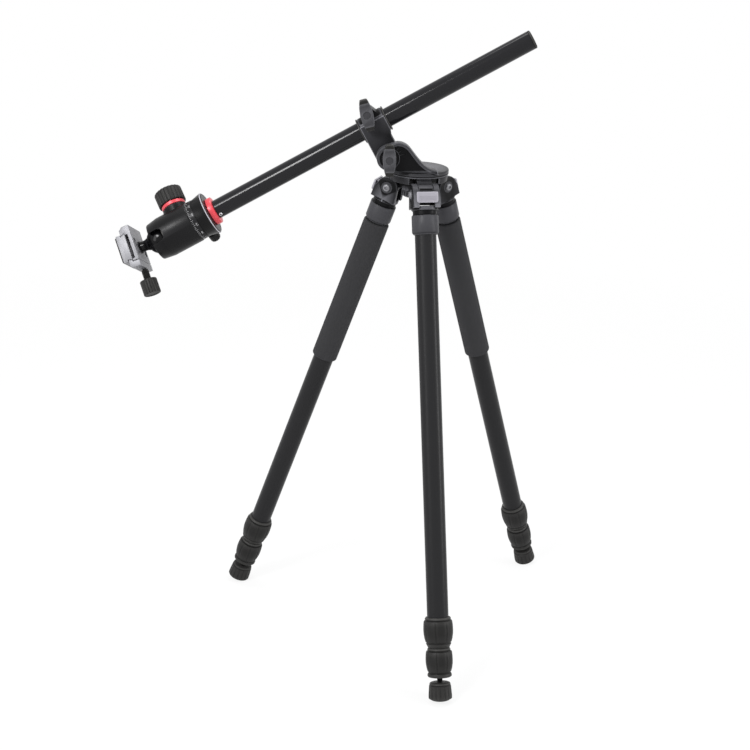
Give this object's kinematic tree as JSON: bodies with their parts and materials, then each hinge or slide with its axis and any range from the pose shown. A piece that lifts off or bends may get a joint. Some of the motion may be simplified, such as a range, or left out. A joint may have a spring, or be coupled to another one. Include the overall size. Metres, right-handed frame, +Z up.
{
  "type": "photo tripod",
  "caption": "Photo tripod with telescopic legs, a tilting and sliding centre column, a ball head and a quick-release clamp.",
  "frame": {"origin": "middle of the object's box on the floor", "axes": "+Z up; the front leg points to -Y; the column's head end is on the -X side"},
  "size_m": [0.631, 0.4124, 0.8307],
  "materials": {
    "satin_black": "satin black anodised",
    "gloss_black": "gloss black anodised",
    "cast_black": "textured black die casting",
    "titanium": "bead-blasted titanium-grey anodised",
    "rubber": "moulded black rubber",
    "foam": "closed-cell foam",
    "grey_knob": "moulded grey",
    "steel": "plated",
    "red": "red anodised"
  },
  "bodies": {
    "hub": {"hub": "cast_black", "front_leg_bolt": "steel", "left_leg_bolt": "steel", "right_leg_bolt": "steel"},
    "front_leg": {"front_leg_bracket": "cast_black", "front_upper_tube": "satin_black"},
    "front_latch": {"front_angle_latch": "titanium"},
    "front_upper_lock": {"front_upper_lock": "rubber"},
    "front_middle_section": {"front_middle_tube": "satin_black"},
    "front_lower_lock": {"front_lower_lock": "rubber"},
    "front_lower_section": {"front_lower_tube": "satin_black", "front_foot_spindle": "cast_black"},
    "front_foot": {"front_rubber_foot": "rubber"},
    "left_leg": {"left_leg_bracket": "cast_black", "left_upper_tube": "satin_black", "left_foam_grip": "foam"},
    "left_latch": {"left_angle_latch": "titanium"},
    "left_upper_lock": {"left_upper_lock": "rubber"},
    "left_middle_section": {"left_middle_tube": "satin_black"},
    "left_lower_lock": {"left_lower_lock": "rubber"},
    "left_lower_section": {"left_lower_tube": "satin_black", "left_foot_spindle": "cast_black"},
    "left_foot": {"left_rubber_foot": "rubber"},
    "right_leg": {"right_leg_bracket": "cast_black", "right_upper_tube": "satin_black", "right_foam_grip": "foam"},
    "right_latch": {"right_angle_latch": "titanium"},
    "right_upper_lock": {"right_upper_lock": "rubber"},
    "right_middle_section": {"right_middle_tube": "satin_black"},
    "right_lower_lock": {"right_lower_lock": "rubber"},
    "right_lower_section": {"right_lower_tube": "satin_black", "right_foot_spindle": "cast_black"},
    "right_foot": {"right_rubber_foot": "rubber"},
    "turntable": {"turntable": "cast_black"},
    "lock_ring": {"turntable_lock_ring": "cast_black"},
    "tilt_knob": {"tilt_lock_knob": "grey_knob"},
    "collar": {"column_collar": "cast_black"},
    "collar_knob": {"column_clamp_knob": "grey_knob"},
    "bush": {"column_bush": "rubber"},
    "column": {"column_tube": "gloss_black", "column_end_cap": "cast_black", "column_set_screw": "steel", "column_top_disc": "red", "head_base": "satin_black"},
    "pan_knob": {"pan_lock_knob": "satin_black"},
    "head": {"head_housing": "satin_black"},
    "ball_knob": {"main_lock_knob": "rubber", "main_knob_ring": "red"},
    "ball_seat": {"ball_cup": "rubber"},
    "ball": {"ball": "gloss_black"},
    "clamp": {"ball_stem": "gloss_black", "clamp_body": "titanium"},
    "jaw_knob": {"clamp_knob": "rubber"},
    "jaw": {"clamp_jaw": "titanium"},
    "plate": {"quick_release_plate": "titanium", "plate_pad": "rubber"},
    "camera_screw": {"camera_screw": "steel"}
  },
  "joints": [
    {"name": "front_leg_swing", "type": "hinge", "parent": "hub", "child": "front_leg", "pos_m": [0.07973, 0.02558, 0.62235], "axis": [-1, 0, 0], "range_deg": [-19.45, 55]},
    {"name": "front_latch_pull", "type": "slide", "parent": "front_leg", "child": "front_latch", "axis": [0, -0.9429, 0.333], "range_m": [0, 0.0034], "stiffness_N_per_m": 300},
    {"name": "front_upper_lock_twist", "type": "hinge", "parent": "front_leg", "child": "front_upper_lock", "pos_m": [0.07973, 0.02558, 0.62235], "axis": [0, -0.333, -0.9429], "range_deg": [0, 120]},
    {"name": "front_middle_slide", "type": "slide", "parent": "front_leg", "child": "front_middle_section", "axis": [0, -0.333, -0.9429], "range_m": [0, 0.38]},
    {"name": "front_lower_lock_twist", "type": "hinge", "parent": "front_middle_section", "child": "front_lower_lock", "pos_m": [0.07973, 0.02558, 0.62235], "axis": [0, -0.333, -0.9429], "range_deg": [0, 120]},
    {"name": "front_lower_slide", "type": "slide", "parent": "front_middle_section", "child": "front_lower_section", "axis": [0, -0.333, -0.9429], "range_m": [0, 0.38]},
    {"name": "front_foot_turn", "type": "hinge", "parent": "front_lower_section", "child": "front_foot", "pos_m": [0.07973, 0.02558, 0.62235], "axis": [0, -0.333, -0.9429], "continuous": true},
    {"name": "left_leg_swing", "type": "hinge", "parent": "hub", "child": "left_leg", "pos_m": [0.04691, 0.08243, 0.62235], "axis": [0.5, 0.866, 0], "range_deg": [-19.45, 55]},
    {"name": "left_latch_pull", "type": "slide", "parent": "left_leg", "child": "left_latch", "axis": [-0.8166, 0.4715, 0.333], "range_m": [0, 0.0034], "stiffness_N_per_m": 300},
    {"name": "left_upper_lock_twist", "type": "hinge", "parent": "left_leg", "child": "left_upper_lock", "pos_m": [0.04691, 0.08243, 0.62235], "axis": [-0.2884, 0.1665, -0.9429], "range_deg": [0, 120]},
    {"name": "left_middle_slide", "type": "slide", "parent": "left_leg", "child": "left_middle_section", "axis": [-0.2884, 0.1665, -0.9429], "range_m": [0, 0.38]},
    {"name": "left_lower_lock_twist", "type": "hinge", "parent": "left_middle_section", "child": "left_lower_lock", "pos_m": [0.04691, 0.08243, 0.62235], "axis": [-0.2884, 0.1665, -0.9429], "range_deg": [0, 120]},
    {"name": "left_lower_slide", "type": "slide", "parent": "left_middle_section", "child": "left_lower_section", "axis": [-0.2884, 0.1665, -0.9429], "range_m": [0, 0.38]},
    {"name": "left_foot_turn", "type": "hinge", "parent": "left_lower_section", "child": "left_foot", "pos_m": [0.04691, 0.08243, 0.62235], "axis": [-0.2884, 0.1665, -0.9429], "continuous": true},
    {"name": "right_leg_swing", "type": "hinge", "parent": "hub", "child": "right_leg", "pos_m": [0.11255, 0.08243, 0.62235], "axis": [0.5, -0.866, 0], "range_deg": [-19.45, 55]},
    {"name": "right_latch_pull", "type": "slide", "parent": "right_leg", "child": "right_latch", "axis": [0.8166, 0.4715, 0.333], "range_m": [0, 0.0034], "stiffness_N_per_m": 300},
    {"name": "right_upper_lock_twist", "type": "hinge", "parent": "right_leg", "child": "right_upper_lock", "pos_m": [0.11255, 0.08243, 0.62235], "axis": [0.2884, 0.1665, -0.9429], "range_deg": [0, 120]},
    {"name": "right_middle_slide", "type": "slide", "parent": "right_leg", "child": "right_middle_section", "axis": [0.2884, 0.1665, -0.9429], "range_m": [0, 0.38]},
    {"name": "right_lower_lock_twist", "type": "hinge", "parent": "right_middle_section", "child": "right_lower_lock", "pos_m": [0.11255, 0.08243, 0.62235], "axis": [0.2884, 0.1665, -0.9429], "range_deg": [0, 120]},
    {"name": "right_lower_slide", "type": "slide", "parent": "right_middle_section", "child": "right_lower_section", "axis": [0.2884, 0.1665, -0.9429], "range_m": [0, 0.38]},
    {"name": "right_foot_turn", "type": "hinge", "parent": "right_lower_section", "child": "right_foot", "pos_m": [0.11255, 0.08243, 0.62235], "axis": [0.2884, 0.1665, -0.9429], "continuous": true},
    {"name": "turntable_turn", "type": "hinge", "parent": "hub", "child": "turntable", "pos_m": [0.07973, 0.06348, 0.62235], "axis": [0, 0, 1], "continuous": true},
    {"name": "lock_ring_twist", "type": "hinge", "parent": "turntable", "child": "lock_ring", "pos_m": [0.07973, 0.06348, 0.62235], "axis": [0, 0, 1], "range_deg": [0, 180]},
    {"name": "tilt_knob_twist", "type": "hinge", "parent": "turntable", "child": "tilt_knob", "pos_m": [0.03868, 0.06962, 0.66815], "axis": [0.1478, 0.989, 0], "range_deg": [-180, 180]},
    {"name": "column_tilt", "type": "hinge", "parent": "turntable", "child": "collar", "pos_m": [0.03868, 0.06962, 0.66815], "axis": [0.1478, 0.989, 0], "range_deg": [-40, 55]},
    {"name": "collar_knob_twist", "type": "hinge", "parent": "collar", "child": "collar_knob", "pos_m": [0.00898, 0.07406, 0.72239], "axis": [0.1478, 0.989, 0], "range_deg": [-180, 180]},
    {"name": "column_turn", "type": "hinge", "parent": "collar", "child": "bush", "pos_m": [0.01822, 0.07268, 0.70412], "axis": [-0.8574, 0.1281, -0.4985], "continuous": true},
    {"name": "column_slide", "type": "slide", "parent": "bush", "child": "column", "axis": [0.8574, -0.1281, 0.4985], "range_m": [-0.195, 0.2]},
    {"name": "pan_knob_twist", "type": "hinge", "parent": "column", "child": "pan_knob", "pos_m": [-0.20306, 0.10575, 0.57546], "axis": [0.494, 0.4769, -0.727], "range_deg": [-180, 180]},
    {"name": "head_pan", "type": "hinge", "parent": "column", "child": "head", "pos_m": [0.01822, 0.07268, 0.70412], "axis": [-0.8574, 0.1281, -0.4985], "continuous": true},
    {"name": "ball_knob_twist", "type": "hinge", "parent": "head", "child": "ball_knob", "pos_m": [-0.22561, 0.10912, 0.56235], "axis": [-0.3191, 0.6276, 0.7101], "range_deg": [-180, 180]},
    {"name": "ball_swivel", "type": "hinge", "parent": "head", "child": "ball_seat", "pos_m": [-0.25476, 0.11347, 0.54541], "axis": [-0.8574, 0.1281, -0.4985], "continuous": true},
    {"name": "ball_tilt", "type": "hinge", "parent": "ball_seat", "child": "ball", "pos_m": [-0.25476, 0.11347, 0.54541], "axis": [0.3217, 0.8894, -0.3247], "range_deg": [-35, 30]},
    {"name": "clamp_spin", "type": "hinge", "parent": "ball", "child": "clamp", "pos_m": [-0.25476, 0.11347, 0.54541], "axis": [-0.8963, 0.1755, -0.4073], "continuous": true},
    {"name": "jaw_knob_turn", "type": "hinge", "parent": "clamp", "child": "jaw_knob", "pos_m": [-0.28546, 0.11948, 0.53146], "axis": [0.2675, -0.5186, -0.8121], "range_deg": [0, 720]},
    {"name": "jaw_slide", "type": "slide", "parent": "clamp", "child": "jaw", "axis": [0.2675, -0.5186, -0.8121], "range_m": [0, 0.0015]},
    {"name": "plate_slide", "type": "slide", "parent": "clamp", "child": "plate", "axis": [-0.3538, -0.8368, 0.4179], "range_m": [-0.015, 0.015]},
    {"name": "camera_screw_turn", "type": "hinge", "parent": "plate", "child": "camera_screw", "pos_m": [-0.25476, 0.11347, 0.54541], "axis": [-0.8963, 0.1755, -0.4073], "continuous": true}
  ]
}
